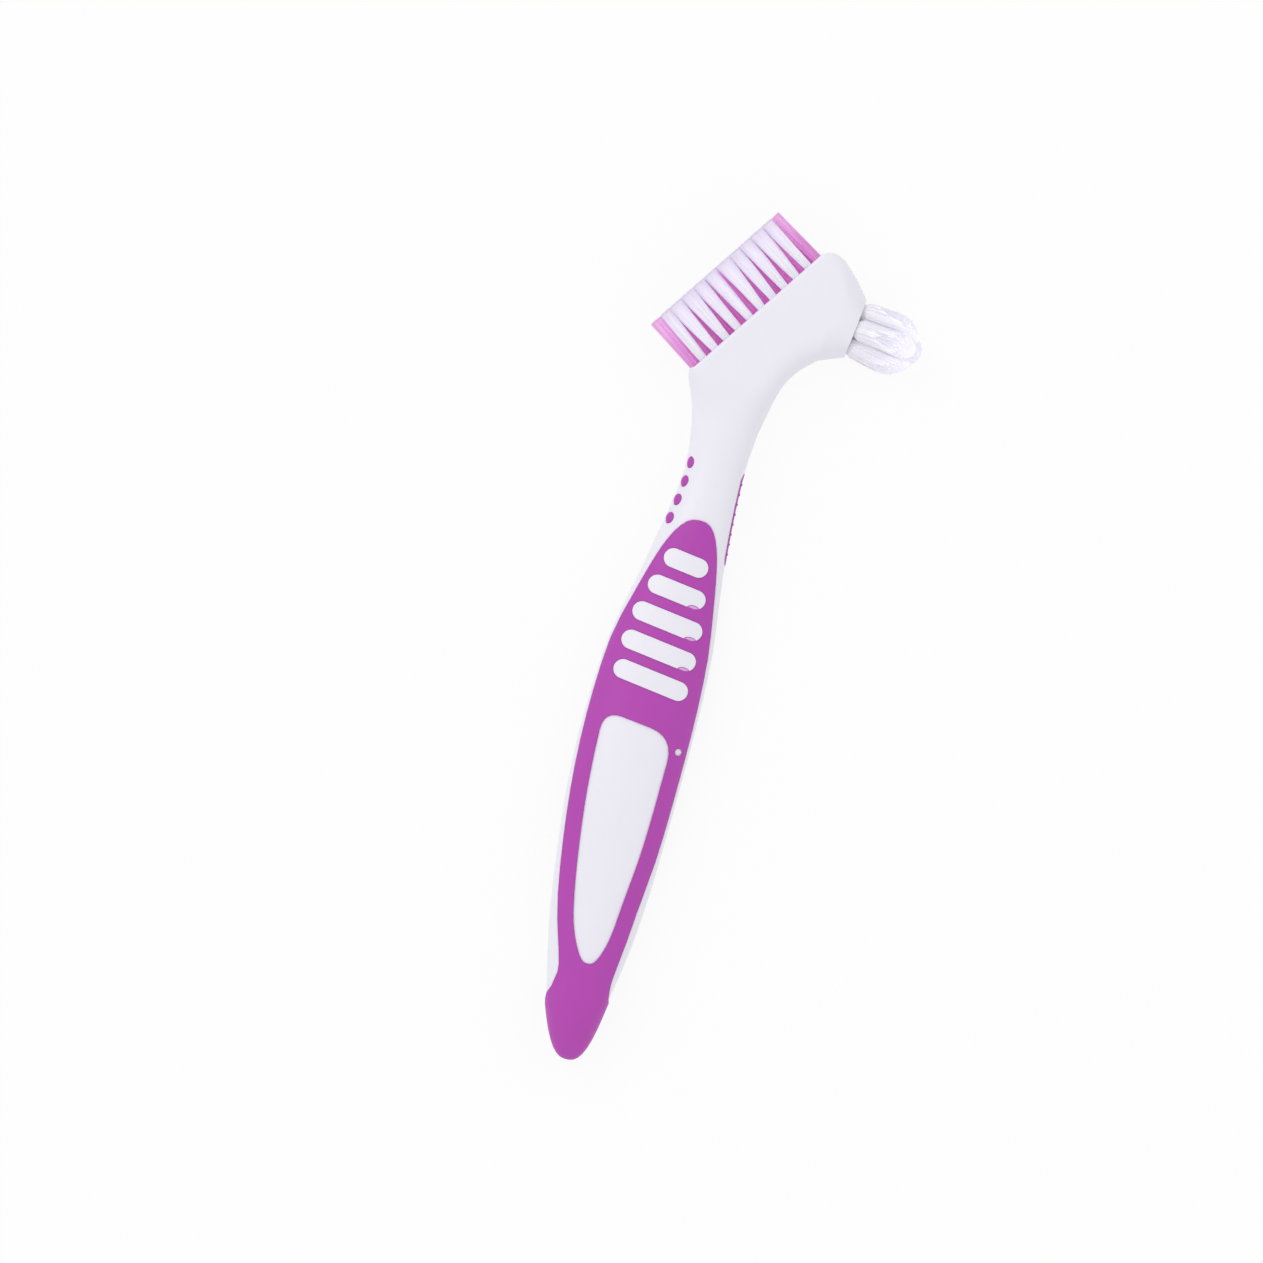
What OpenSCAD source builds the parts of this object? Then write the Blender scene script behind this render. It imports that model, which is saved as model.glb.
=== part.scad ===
// Denture brush with a long bristle block and a small tuft cluster on one head
//
// The brush lies on its broad back. +Y runs from the tail to the head, +X to the finger
// side and +Z up from the surface that it lies on. The bristle block points to the thumb
// side. Every shape is drawn about the brush's middle plane with the tail tip at the
// origin, and in_row() then sets it on the surface with the origin under its middle.

/* [Handle] */
// Length from the tail tip to the root of the head
handle_l = 135; // [125:1:145]
// Sideways bow of the handle towards the thumb, at the palm swell
sway = 2.45; // [1.5:0.05:3]
// Width of the tail, where its round end begins
tail_w = 11.9; // [10.5:0.1:13]
// Width where the tail runs into the palm swell
taper_w = 18.9; // [17:0.1:20.5]
// Width of the palm swell
belly_w = 23.1; // [21:0.1:25]
// Width at the upper end of the palm swell
shoulder_w = 22.1; // [20:0.1:23]
// Width where the handle narrows to the neck
waist_w = 16; // [15:0.1:18]
// Width of the neck
neck_w = 12.1; // [11.4:0.1:13.4]
// Width at the root of the head
root_w = 14.1; // [13.2:0.1:15]
// Thickness of the tail
tail_t = 9.4; // [8.5:0.1:10.2]
// Thickness where the tail runs into the palm swell
taper_t = 12; // [11:0.1:12.8]
// Thickness at the upper end of the palm swell
shoulder_t = 12.6; // [11.6:0.1:12.8]
// Thickness where the handle narrows to the neck
waist_t = 11.2; // [10.4:0.1:12]
// Thickness of the neck
neck_t = 10.4; // [9.8:0.1:11]
// Thickness at the root of the head
root_t = 11.4; // [10.8:0.1:12.2]
// Length of the round end of the tail
tail_round = 10; // [8:0.5:12]

/* [Head] */
// Thickness of the head between its flat sides, which the palm swell matches
head_t = 14; // [13.6:0.1:15]
// Length of the flat face that carries the long bristle block
face_l = 35.4; // [35.2:0.1:37]
// Turn of that face from the handle's width towards its length
face_angle = 54.6; // [52:0.2:57]
// Place of the face's lower end across the handle
foot_x = -8.2; // [-9:0.1:-7.4]
// Rise from the root of the head to the face's lower end
foot_rise = 10.2; // [9.4:0.1:11]
// Radius of the edges round the face
face_edge = 0.8; // [0.5:0.1:1.2]
// Radius of the rounding on the finger side of the head
back_round = 4.8; // [3.5:0.1:5.5]

/* [Small head] */
// Distance across the head from the face's lower end to the small head's mouth
small_reach = 30.75; // [29.5:0.25:32]
// Rise from the face's lower end to the middle of the small head's mouth
small_rise = 15.5; // [14.5:0.1:16.5]
// Droop of the small head's axis
small_droop = 8.2; // [4:0.2:10]
// Diameter of the round collar of the small head
collar_d = 12.6; // [12.4:0.1:12.8]

/* [Long bristle block] */
// Tufts in each outer row
outer_n = 10; // [9:1:10]
// Distance between neighbouring tufts of a row
tuft_pitch = 3.2; // [3.15:0.05:3.25]
// Distance of the block's middle from the middle of the face, towards the tail
block_shift = 0.7; // [0.4:0.1:0.8]
// Extra distance of the inner rows' end tufts from the next, at the tail end
end_out_foot = 0.25; // [0.1:0.05:0.4]
// Extra distance of the inner rows' end tufts from the next, at the head end
end_out_head = 0.85; // [0.5:0.05:0.9]
// Distance between neighbouring rows
row_pitch = 3.1; // [3.05:0.05:3.15]
// Diameter of a tuft at its hole
tuft_d = 1.8; // [1.5:0.05:1.85]
// Diameter of the inner rows' end tufts at their holes
end_tuft_d = 2.6; // [2:0.05:2.65]
// Diameter of a tuft at its tips
tuft_tip_d = 3; // [2.4:0.05:3]
// Chamfer round a tuft's tip
tuft_trim = 0.25; // [0.15:0.05:0.4]
// Length of a tuft above the face
tuft_h = 12.6; // [11:0.1:14]
// Depth of a tuft hole
hole_depth = 3.6; // [3:0.1:4.2]
// Lean of the outer rows towards the tail
outer_lean = 0; // [0:0.2:1]
// Lean of the inner rows towards the tail, at the tail end of the block
inner_lean_foot = -2; // [-2.5:0.5:1]
// Lean of the inner rows towards the tail, at the head end of the block
inner_lean_end = 5; // [4:0.5:5]

/* [Small tuft cluster] */
// Tufts round the middle one
ring_n = 6; // [5:1:6]
// Radius of the circle of tufts
ring_r = 4.2; // [4.15:0.05:4.25]
// Diameter of a small-head tuft at its hole
small_tuft_d = 3.3; // [2.6:0.05:3.3]
// Diameter of a small-head tuft where the dome begins
small_tip_d = 5; // [4.2:0.1:5]
// Reach of the dome above the collar
small_h = 14.7; // [13.5:0.1:15]
// Radius of the domed trim
dome_r = 6.7; // [6.3:0.1:7]
// Outward lean of the tufts round the middle one
small_lean = 4; // [3.9:0.1:4.4]
// Depth of a small-head tuft hole
small_hole_depth = 4.2; // [3.5:0.1:5]

/* [Anchor wires] */
// Thickness of the flat anchor wire
anchor_t = 0.3; // [0.2:0.05:0.4]
// Height of the flat anchor wire
anchor_h = 1.6; // [1.2:0.1:1.8]
// Bristle left under the anchor wire, at the fold
fold_h = 0.7; // [0.5:0.1:0.9]

/* [Rubber grip] */
// Depth of the rubber below the white surface
rubber_t = 1.2; // [0.9:0.1:1.5]
// Height of the rubber above the white surface
rubber_rise = 0.25; // [0.1:0.05:0.4]
// Distance from the root of the head down to the top of the grip panel
panel_drop = 20.35; // [18:0.05:24]
// Length of the panel's round top
panel_arch = 17; // [14:0.5:19]
// Widest white band left beside the rubber, near the tail
band_w = 2.5; // [2:0.1:2.8]
// Width of the rubber rim beside the window
rim_w = 3.4; // [2.8:0.1:3.8]
// Distance from the tail tip to the bottom of the window
window_foot = 20.2; // [18:0.2:24]
// Length of the window's round bottom
window_arch = 9.7; // [7:0.1:12]
// Distance from the top of the panel down to the top of the window
window_drop = 43.65; // [42:0.05:50]
// Rounding of the window's top corner on the thumb side
window_thumb_round = 4; // [1.5:0.1:4.5]
// Rounding of the window's top corner on the finger side
window_finger_round = 5.4; // [2:0.1:6]
// Slope of the top edge of the window, lower on the finger side
window_slope = 8; // [0:1:12]
// Diameter of the locating pin's mark beside the window
pin_d = 1.5; // [1:0.1:1.8]
// Distance from the top of the window down to the mark
pin_drop = 4; // [3:0.5:10]

/* [Grip slots] */
// Number of slots
slot_n = 5; // [3:1:5]
// Width of a slot
slot_w = 4; // [3.2:0.1:4.2]
// Length of the longest slot
slot_max = 16.3; // [14:0.1:16.5]
// Least rubber left at each end of a slot
slot_end = 1.7; // [1.2:0.1:2.2]
// Distance between neighbouring slots
slot_pitch = 6.3; // [6.1:0.05:6.4]
// Distance from the top of the panel down to the lowest slot
slot_drop = 34.4; // [34:0.1:34.8]
// Slope of the slots, lower on the finger side
slot_slope = 9; // [6:0.5:12]
// Height of the pads in the slots above the white surface
pad_rise = 0.5; // [0.3:0.05:0.6]
// Length of a runner that feeds rubber through the handle at a slot's lower edge
feed_l = 3.2; // [2.2:0.1:3.4]
// Width of a runner
feed_w = 2.2; // [1.6:0.1:2.4]
// Distance of a runner's middle below the slot's lower edge
feed_sink = 0.3; // [0.1:0.05:0.5]
// Distance of a runner's middle from the slot's end
feed_in = 1.7; // [1.5:0.1:3.5]

/* [Thumb dots] */
// Dots in each row
dot_n = 4; // [2:1:4]
// Diameter of a dot
dot_d = 2.5; // [2:0.1:2.7]
// Height of a dot's dome
dot_rise = 0.55; // [0.3:0.05:0.8]
// Depth of a dot's pocket
dot_depth = 0.9; // [0.6:0.1:1.1]
// Distance between neighbouring dots of a row
dot_pitch = 4.05; // [3.6:0.05:4.3]
// Distance from the root of the head down to the lowest dot
dot_drop = 21.2; // [20:0.2:22]
// Turn of the dot rows from the thumb edge
dot_turn = 30; // [28:1:38]

/* [Finger strip] */
// Distance from the root of the head down to the lower end of the strip
strip_drop = 28.2; // [27:0.2:30]
// Length of the strip
strip_l = 19.4; // [18.8:0.2:21]
// Width of the strip round the finger edge
strip_w = 3.2; // [3:0.1:4]
// Depth of the strip's recess
strip_t = 0.9; // [0.6:0.1:1.2]
// Height of the strip above the white surface
strip_rise = 0.12; // [0.05:0.01:0.2]
// Nubs in each of the two rows
nub_n = 8; // [5:1:8]
// Distance between neighbouring nubs of a row
nub_pitch = 2.1; // [1.8:0.05:2.15]
// Diameter of a nub at its foot
nub_d = 0.9; // [0.7:0.05:1]
// Height of a nub
nub_h = 0.2; // [0.15:0.05:0.4]
// Distance of each nub row from the middle plane
nub_side = 0.8; // [0.75:0.05:0.95]

/* [Fit] */
// Clearance round a tuft in its hole
tuft_gap = 0.04; // [0.02:0.01:0.06]
// Clearance round an anchor wire in its tuft
anchor_gap = 0.03; // [0.02:0.01:0.05]

/* [Hidden] */
white = "#ebe9f2";
purple = "#b048a8";
violet = "#c45fc0";
wire = "#b9a15a";
inner_n = outer_n + 1;
half_t = head_t / 2;
belly_t = head_t - 2 * rubber_rise;
panel_top = handle_l - panel_drop;
window_top = panel_top - window_drop;
slot_foot = panel_top - slot_drop;
dot_foot = handle_l - dot_drop;
strip_foot = handle_l - strip_drop;

// Segments in a quarter of a section, and rings in each stretch of the body
quarter_n = 6;
tail_rings = 7;
shaft_rings = 24;
head_rings = 30;
shaft_step = (handle_l - tail_round) / shaft_rings;
// First and last ring of the straight face, and the ring where the head starts to turn round
face_first = 8;
face_last = 17;
crown_first = 24;
// Shares of the finger side's edge that lie against the throat, and against throat and face
throat_share = 0.25;
face_share = 0.65;

// Share of the handle's length, width, thickness and share of the sideways bow
stations = [
    [tail_round / handle_l, tail_w, tail_t, 0.71],
    [0.222, taper_w, taper_t, 0.82],
    [0.444, belly_w, belly_t, 1],
    [0.637, shoulder_w, shoulder_t, 0.67],
    [0.785, waist_w, waist_t, 0.18],
    [0.926, neck_w, neck_t, -0.37],
    [1, root_w, root_t, -0.37]
];
// Share of the bow at the tail tip
tip_bow = 0.37;
// Growth of the tail's round end: 0.5 is an ellipse, less is fuller
tail_power = 0.42;
// Share of an oval section that its corners take
oval = 0.96;
// Fullness of the round ends of the panel and the window: 2 is an ellipse, more is fuller
end_power = 2.6;

// Number between a and b, and a share that starts and ends level
function mix(a, b, t) = a + (b - a) * t;
function soft(t) = let (c = min(1, max(0, t))) c * c * (3 - 2 * c);

// Value of a table's column at y, by a smooth curve through the rows
function slope(t, c, i) = let (lo = max(0, i - 1), hi = min(len(t) - 1, i + 1))
    (t[hi][c] - t[lo][c]) / (t[hi][0] - t[lo][0]);
function row_below(t, y) = max(0, min(len(t) - 2, len([for (r = t) if (r[0] <= y) 1]) - 1));
function along(t, c, y) = let (
        i = row_below(t, y),
        d = t[i + 1][0] - t[i][0],
        u = (y - t[i][0]) / d
    )
    (1 + 2 * u) * pow(1 - u, 2) * t[i][c] + u * pow(1 - u, 2) * d * slope(t, c, i)
    + u * u * (3 - 2 * u) * t[i + 1][c] - u * u * (1 - u) * d * slope(t, c, i + 1);

// Smooth curve through evenly numbered points
function spline(p, v) = let (
        i = min(len(p) - 2, floor(v)),
        u = v - i,
        a = p[max(0, i - 1)],
        b = p[i],
        c = p[i + 1],
        d = p[min(len(p) - 1, i + 2)]
    )
    b + u * (c - a) / 2 + u * u * (a - 2.5 * b + 2 * c - d / 2)
    + pow(u, 3) * (1.5 * b - a / 2 - 1.5 * c + d / 2);

// Half width, half thickness and centre line of the handle
function half_w(y) = y < tail_round ? tail_w / 2 * pow(y / tail_round, tail_power)
    : along(stations, 1, y / handle_l) / 2;
function half_h(y) = y < tail_round ? tail_t / 2 * pow(y / tail_round, tail_power)
    : along(stations, 2, y / handle_l) / 2;
function bow(y) = -sway * (y < tail_round ? mix(tip_bow, stations[0][3], y / tail_round)
    : along(stations, 3, y / handle_l));

// Closed section between a left and a right edge point, with oval corners of its own on each side
function section(l, r, b, lc, rc) = let (c = (l + r) / 2, a = norm(r - l) / 2, u = (r - l) / (2 * a))
    [for (q = [0:3], i = [0:quarter_n])
        let (
            turn = 90 * (q + i / quarter_n),
            corner = q == 1 || q == 2 ? lc : rc,
            side = q == 1 || q == 2 ? -1 : 1,
            top = q < 2 ? 1 : -1,
            p = side * (a - corner[0]) + corner[0] * cos(turn),
            z = top * (b - corner[1]) + corner[1] * sin(turn)
        )
        [c[0] + u[0] * p, c[1] + u[1] * p, z]];

// A section of the handle, grown or shrunk all round by the given amount
function shaft_ring(y, grow) = let (
        a = max(half_w(y) + grow, 0.2 * half_w(y)),
        b = max(half_h(y) + grow, 0.2 * half_h(y)),
        yy = y < tail_round ? y + grow * (y / tail_round - 1) : y,
        x = bow(y),
        corner = [a * oval, b * oval]
    )
    section([x - a, yy], [x + a, yy], b, corner, corner);

// The bristle face's lower end, and a point of the head's own frame: s along the face, h out of it
foot = [foot_x, handle_l + foot_rise];
function face_point(s, h) = foot + s * [cos(face_angle), sin(face_angle)]
    + h * [-sin(face_angle), cos(face_angle)];

// Middle of the small head's mouth and the direction that it faces
mouth = foot + [small_reach, small_rise];
aim = [cos(small_droop), -sin(small_droop)];
mouth_up = [sin(small_droop), cos(small_droop)] * collar_d / 2;

// Bends of the throat in shares of the foot's rise, and of the crown in shares of the head's
// thickness, along the face and out of it from its upper end
throat_bends = [[0.108, -0.647], [-0.01, -0.343], [-0.078, -0.127], [-0.064, -0.039]];
crown_bends = [
    [0.079, -0.043], [0.15, -0.121], [0.189, -0.271],
    [0.175, -0.436], [0.136, -0.643], [0.093, -0.821]
];

// Edge of the head on the bristle side: throat, straight face and crown
root_left = [bow(handle_l) - half_w(handle_l), handle_l];
root_right = [bow(handle_l) + half_w(handle_l), handle_l];
face_end = 0.15 * face_edge;
throat = concat(
    [root_left],
    [for (p = throat_bends) foot + foot_rise * p],
    [face_point(face_end, 0)]
);
crown = concat(
    [face_point(face_l - face_end, 0)],
    [for (p = crown_bends) face_point(face_l + head_t * p[0], head_t * p[1])],
    [mouth + mouth_up]
);
function left_edge(k) = k <= face_first ? spline(throat, (len(throat) - 1) * k / face_first)
    : k <= face_last
    ? face_point(mix(face_end, face_l - face_end, (k - face_first) / (face_last - face_first)), 0)
    : spline(crown, (len(crown) - 1) * (k - face_last) / (head_rings - face_last));

// Edge of the head on the finger side, from its root round the crotch to the small head
crotch = [root_right, root_right + root_w * [0.152, 0.652], root_right + root_w * [0.34, 1],
    root_right + root_w * [0.589, 1.234], mouth - mouth_up - collar_d * [0.287, 0.102], mouth - mouth_up];
function right_share(k) = k <= face_first ? throat_share * k / face_first
    : k <= face_last ? mix(throat_share, face_share, (k - face_first) / (face_last - face_first))
    : mix(face_share, 1, (k - face_last) / (head_rings - face_last));
function right_edge(k) = spline(crotch, (len(crotch) - 1) * right_share(k));

// A section of the head: oval at the root, flat-sided at the face and round at the small head
function head_ring(k, grow) = let (
        l = left_edge(k),
        r = right_edge(k),
        out = (r - l) / norm(r - l) * grow,
        a = norm(r - l) / 2 + grow,
        swell = soft(1.25 * k / face_first),
        close = soft((k - crown_first) / (head_rings - crown_first)),
        turned = soft((k - face_last) / (head_rings - face_last)),
        b = mix(mix(root_t / 2, half_t, swell), collar_d / 2, close) + grow,
        flat = mix([a, b] * oval, [face_edge, face_edge], swell),
        back = mix([a, b] * oval, [back_round, back_round], swell)
    )
    section(l - out, r + out, b, mix(flat, [a, b] * oval, turned), mix(back, [a, b] * oval, turned));

// Heights of the handle's rings: close together round the tail, then even
tip_flat = tail_round / 500;
ring_heights = concat(
    [for (k = [0:tail_rings]) max(tip_flat, tail_round * pow(k / tail_rings, 2))],
    [for (k = [1:shaft_rings]) tail_round + k * shaft_step]
);

module loft(rings) {
    m = len(rings[0]);
    last = len(rings) - 1;
    polyhedron(
        points = [for (r = rings, p = r) p],
        faces = concat(
            [[for (j = [m - 1:-1:0]) j]],
            [[for (j = [0:m - 1]) last * m + j]],
            [for (i = [0:last - 1], j = [0:m - 1])
                [i * m + j, i * m + (j + 1) % m, (i + 1) * m + (j + 1) % m]],
            [for (i = [0:last - 1], j = [0:m - 1])
                [i * m + j, (i + 1) * m + (j + 1) % m, (i + 1) * m + j]]
        )
    );
}

// The white body's outer form, and a stretch of the handle's form alone, grown or shrunk
module body_form() {
    loft(concat([for (y = ring_heights) shaft_ring(y, 0)], [for (k = [1:head_rings]) head_ring(k, 0)]));
}
module handle_form(grow, from, to) {
    near = 2 * shaft_step;
    loft([for (y = ring_heights) if (y > from - near && y < to + near) shaft_ring(y, grow)]);
}

// White bands beside the grip panel: share of the panel's height, then the thumb side's and the
// finger side's band in shares of the widest. Where a band is negative the panel runs off that
// edge, so the rubber wraps the tail.
bands = [
    [0, -1.2, -1.2],
    [0.107, 0, -0.28],
    [0.117, 0.3, 0],
    [0.13, 0.56, 0.2],
    [0.161, 1, 0.44],
    [0.278, 0.54, 0.56],
    [0.4, 0.38, 0.3],
    [0.522, 0.3, 0.24],
    [0.652, 0.22, 0.26],
    [0.765, 0.18, 0.34],
    [0.87, 0.42, 0.46],
    [1, 0.56, 0.46]
];
// Share of its full width that a round end has at the share t of its length
function round_end(t) = pow(max(0, 1 - pow(max(0, t), end_power)), 1 / end_power);
arch_y = panel_top - panel_arch;
function panel_left(y) = bow(max(0, y)) - half_w(max(0, y)) + band_w * along(bands, 1, y / panel_top);
function panel_right(y) = bow(max(0, y)) + half_w(max(0, y)) - band_w * along(bands, 2, y / panel_top);
function panel_mid(y) = (panel_left(y) + panel_right(y)) / 2;
function panel_half(y) = round_end((y - arch_y) / panel_arch) * (panel_right(y) - panel_left(y)) / 2;
vee_y = bands[1][0] * panel_top;
vee_end = 1.8 * vee_y;
panel_heights = concat(
    [-0.2 * tail_round, 0.7 * vee_y],
    [for (k = [0:6]) mix(vee_y, vee_end, k / 6)],
    [for (k = [1:14]) mix(vee_end, arch_y, k / 14)],
    [for (k = [1:10]) arch_y + panel_arch * sin(9 * k)]
);

module panel_outline() {
    polygon(concat(
        [for (y = panel_heights) [panel_mid(y) - panel_half(y), y]],
        [for (k = [len(panel_heights) - 1:-1:0])
            let (y = panel_heights[k]) [panel_mid(y) + panel_half(y), y]]
    ));
}

// Window in the panel: a rim inside the panel's edges, with a round bottom, a sloping top and
// two rounded top corners
function window_left(y) = panel_left(y) + rim_w;
function window_right(y) = panel_right(y) - rim_w;
function window_half(y) = round_end((window_foot + window_arch - y) / window_arch)
    * (window_right(y) - window_left(y)) / 2;
function window_line(x) = window_top - (x - panel_mid(window_top)) * tan(window_slope);
along_top = [cos(window_slope), -sin(window_slope)];
thumb_y = window_line(window_left(window_top));
finger_y = window_line(window_right(window_top));
function corner_arc(a, c, b) = [for (k = [0:6]) let (t = k / 6)
    pow(1 - t, 2) * a + 2 * t * (1 - t) * c + t * t * b];
function window_heights(top) = concat(
    [for (k = [0:9]) window_foot + window_arch * (1 - cos(10 * k))],
    [for (k = [1:9]) mix(window_foot + window_arch, top, k / 10)]
);
module window_outline() {
    polygon(concat(
        [for (y = window_heights(thumb_y - window_thumb_round)) [panel_mid(y) - window_half(y), y]],
        corner_arc(
            [window_left(thumb_y - window_thumb_round), thumb_y - window_thumb_round],
            [window_left(thumb_y), thumb_y],
            [window_left(thumb_y), thumb_y] + window_thumb_round * along_top
        ),
        corner_arc(
            [window_right(finger_y), finger_y] - window_finger_round * along_top,
            [window_right(finger_y), finger_y],
            [window_right(finger_y - window_finger_round), finger_y - window_finger_round]
        ),
        let (rows = window_heights(finger_y - window_finger_round))
            [for (k = [len(rows) - 1:-1:1]) [panel_mid(rows[k]) + window_half(rows[k]), rows[k]]]
    ));
}

// Long round-ended outline, from end to end along X
module stadium(l, w) {
    square([l - w, w], center = true);
    for (side = [-1, 1]) translate([side * (l - w) / 2, 0]) circle(d = w, $fn = 32);
}

// Slots, each as long as the panel leaves room for
function slot_y(i) = slot_foot + i * slot_pitch;
function slot_length(i) = min(slot_max, 2 * panel_half(slot_y(i)) - 2 * slot_end);
module slot_outlines() {
    for (i = [0:slot_n - 1])
        translate([panel_mid(slot_y(i)), slot_y(i)])
            rotate(-slot_slope)
            stadium(slot_length(i), slot_w);
}

// Runners that feed rubber from the front to the back, at the lower edge of the middle slots
module feed_outlines() {
    for (i = [1:min(3, slot_n - 1)])
        translate([panel_mid(slot_y(i)), slot_y(i)])
            rotate(-slot_slope)
            translate([slot_length(i) / 2 - feed_in, -slot_w / 2 - feed_sink])
            polygon([for (k = [0:23]) [feed_l * cos(15 * k), feed_w * sin(15 * k)] / 2]);
}
module slot_openings() {
    difference() {
        slot_outlines();
        feed_outlines();
    }
}

// Through-going zone of the rubber grip, the same on the front and the back
module grip_zone() {
    linear_extrude(height = 2 * head_t, center = true, convexity = 10) difference() {
        panel_outline();
        window_outline();
        slot_openings();
        translate([panel_right(window_top - pin_drop) - rim_w / 2, window_top - pin_drop])
            circle(d = pin_d, $fn = 24);
    }
}
// Room for the rubber: the zone outside the sunk core, and the runners through the core
module rubber_zone() {
    difference() {
        grip_zone();
        difference() {
            handle_form(-rubber_t, 0, panel_top);
            linear_extrude(height = 2 * head_t, center = true, convexity = 10) feed_outlines();
        }
    }
}

// Pads that rise through the slots
module pads() {
    intersection() {
        handle_form(pad_rise, slot_foot - slot_w, panel_top);
        linear_extrude(height = 2 * head_t, center = true, convexity = 10) slot_openings();
    }
}

// Places and turns its children at a thumb dot, with +Z out of the neck
module at_dot(i, side) {
    y = dot_foot + i * dot_pitch;
    a = half_w(y);
    b = half_h(y);
    lift = atan(a / b * tan(dot_turn));
    translate([bow(y) - a * cos(dot_turn), y, side * b * sin(dot_turn)])
        rotate([0, -90 + side * lift, 0])
        children();
}
module each_dot() {
    for (i = [0:dot_n - 1], side = [-1, 1]) at_dot(i, side) children();
}

// Zone of the finger strip, a long round-ended patch over the finger edge
module strip_zone() {
    translate([bow(strip_foot), strip_foot + strip_l / 2, 0])
        rotate([0, 90, 0])
        rotate(90)
        linear_extrude(height = 2 * neck_w)
        stadium(strip_l, strip_w);
}

module strip_recess() {
    difference() {
        strip_zone();
        handle_form(-strip_t, strip_foot, strip_foot + strip_l);
    }
}

// Places and turns its children at a nub, with +Z out of the strip
module at_nub(i, side) {
    y = strip_foot + strip_l / 2 + (i - (nub_n - 1) / 2) * nub_pitch;
    a = half_w(y);
    b = half_h(y);
    turn = asin(nub_side / b);
    lift = atan(a / b * tan(turn));
    translate([bow(y) + a * cos(turn), y, side * nub_side])
        rotate([0, 90 - side * lift, 0])
        children();
}

// Tufts of the long block. Row 0 is the lowest and row 3 the uppermost, and the outer two are white
function row_n(row) = row == 0 || row == 3 ? outer_n : inner_n;
function is_end(row, i) = row_n(row) == inner_n && (i == 0 || i == inner_n - 1);
function tuft_s(row, i) = face_l / 2 - block_shift + (i - (row_n(row) - 1) / 2) * tuft_pitch
    + (!is_end(row, i) ? 0 : i == 0 ? -end_out_foot : end_out_head);
function foot_d(row, i) = is_end(row, i) ? end_tuft_d : tuft_d;
function tuft_lean(row, i) = row == 0 || row == 3 ? outer_lean
    : mix(inner_lean_foot, inner_lean_end, i / (inner_n - 1));
function tuft_aim(row, i) = face_angle + 90 + tuft_lean(row, i);
module at_tuft(row, i) {
    p = face_point(tuft_s(row, i), 0);
    translate([p[0], p[1], (row - 1.5) * row_pitch]) rotate([0, 90, tuft_aim(row, i)]) children();
}

// Places and turns its children at a tuft of the small head: 0 is the middle one
module at_small_tuft(i) {
    around = 360 / ring_n * (i - 1);
    reach = i == 0 ? 0 : ring_r;
    translate([mouth[0], mouth[1], 0])
        rotate([0, 90, -small_droop])
        rotate(around)
        translate([reach, 0, 0])
        rotate([0, i == 0 ? 0 : small_lean, 0])
        children();
}
// Where the domed trim of the small head has its centre, above the mouth
dome_h = small_h - dome_r;

// Drilled hole, through the surface and round its tuft
module tuft_hole(d, depth) {
    translate([0, 0, -depth])
        cylinder(d = d + 2 * tuft_gap, h = depth + d, $fn = 24);
}

// A tuft folded over its anchor wire, as a revolved bundle with a slot for the wire
module tuft(d, tip_d, depth, h) {
    difference() {
        rotate_extrude($fn = 32) polygon([
            [0, -depth + anchor_gap], [d / 2, -depth + anchor_gap], [d / 2, 0],
            [tip_d / 2, h - tuft_trim], [tip_d / 2 - tuft_trim, h], [0, h]
        ]);
        translate([-anchor_t / 2 - anchor_gap, -d, -depth + fold_h - anchor_gap])
            cube([anchor_t + 2 * anchor_gap, 2 * d, anchor_h + 2 * anchor_gap]);
    }
}
module anchor(d, depth) {
    translate([-anchor_t / 2, -d / 2, -depth + fold_h]) cube([anchor_t, d, anchor_h]);
}

// Sets the brush on the surface that it lies on, with the origin under the middle of its box
aim_first = tuft_aim(1, 0);
aim_last = tuft_aim(1, inner_n - 1);
low_x = face_point(tuft_s(1, 0), 0)[0] + tuft_h * cos(aim_first) - tuft_tip_d / 2 * sin(aim_first);
high_x = mouth[0] + dome_h * aim[0] + dome_r;
high_y = face_point(tuft_s(1, inner_n - 1), 0)[1] + tuft_h * sin(aim_last) - tuft_tip_d / 2 * cos(aim_last);
module in_row() {
    translate([-(low_x + high_x) / 2, -(high_y - rubber_rise) / 2, half_t]) children();
}

// White moulding: handle, neck and both heads
module handle_body() {
    color(white) in_row() union() {
        difference() {
            body_form();
            rubber_zone();
            each_dot() translate([0, 0, -dot_depth])
                cylinder(d = dot_d, h = dot_depth + dot_d, $fn = 32);
            strip_recess();
            for (row = [0:3], i = [0:row_n(row) - 1]) at_tuft(row, i)
                tuft_hole(foot_d(row, i), hole_depth);
            for (i = [0:ring_n]) at_small_tuft(i) tuft_hole(small_tuft_d, small_hole_depth);
        }
        pads();
    }
}

// Rubber grip: front panel, back panel and tail cap in one piece
module grip() {
    color(purple) in_row() intersection() {
        handle_form(rubber_rise, 0, panel_top);
        rubber_zone();
    }
}

// Rubber dots for the thumb, each a short plug with a domed top
module thumb_dots() {
    dome = (pow(dot_d / 2, 2) + pow(dot_rise, 2)) / (2 * dot_rise);
    color(purple) in_row() each_dot() union() {
        translate([0, 0, -dot_depth]) cylinder(d = dot_d, h = dot_depth, $fn = 32);
        intersection() {
            translate([0, 0, dot_rise - dome]) sphere(r = dome, $fn = 48);
            cylinder(d = dot_d, h = 2 * dot_rise, $fn = 32);
        }
    }
}

// Rubber strip for the forefinger, with two rows of nubs
module finger_strip() {
    color(violet) in_row() union() {
        intersection() {
            handle_form(strip_rise, strip_foot, strip_foot + strip_l);
            strip_recess();
        }
        for (i = [0:nub_n - 1], side = [-1, 1]) at_nub(i, side)
            translate([0, 0, -strip_t / 4])
            cylinder(d1 = nub_d, d2 = nub_d / 2.5, h = strip_t / 4 + strip_rise + nub_h, $fn = 24);
    }
}

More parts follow.
